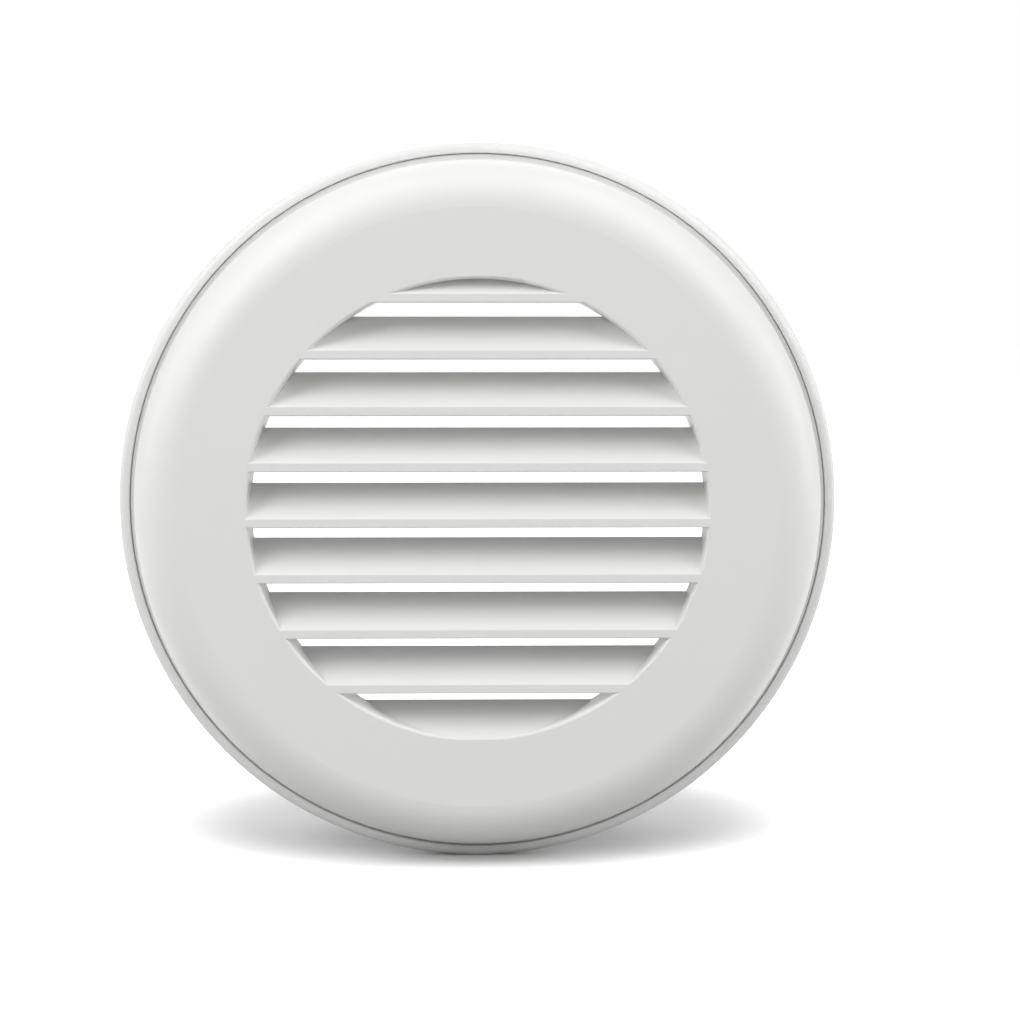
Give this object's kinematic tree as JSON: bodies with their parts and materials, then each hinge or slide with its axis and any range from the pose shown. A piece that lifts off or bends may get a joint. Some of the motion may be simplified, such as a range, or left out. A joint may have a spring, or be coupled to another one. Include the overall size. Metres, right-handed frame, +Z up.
{
  "type": "ceiling air vent",
  "caption": "Round ceiling air vent: a domed cover with slanting louvres snaps onto a flanged base ring with a duct spigot, and turns on it to aim the air.",
  "frame": {"origin": "the point where the vent's axis meets the ceiling's surface, which is the plane of the foam gasket's back face; it lies on the duct spigot's axis", "axes": "+Y along the vent's axis, from the face into the ceiling and the duct, so the face looks along -Y; +Z up in the face, square to the slats, which rise towards the back; +X along the slats, to the right as one looks at the face. On a ceiling -Y points down"},
  "size_m": [0.16, 0.0396, 0.16],
  "materials": {
    "cover_plastic": "white moulded plastic, satin, with a fine even texture",
    "base_plastic": "white moulded plastic, satin, with a fine even texture",
    "screw_steel": "bright zinc plate",
    "gasket_foam": "dark grey closed-cell foam"
  },
  "bodies": {
    "base": {"base_ring": "base_plastic", "foam_gasket": "gasket_foam", "fixing_screws": "screw_steel"},
    "cover": {"louvre_cover": "cover_plastic"}
  },
  "joints": [
    {"name": "cover_turn", "type": "hinge", "parent": "base", "child": "cover", "pos_m": [0, -0.011, 0], "axis": [0, 1, 0], "continuous": true}
  ]
}
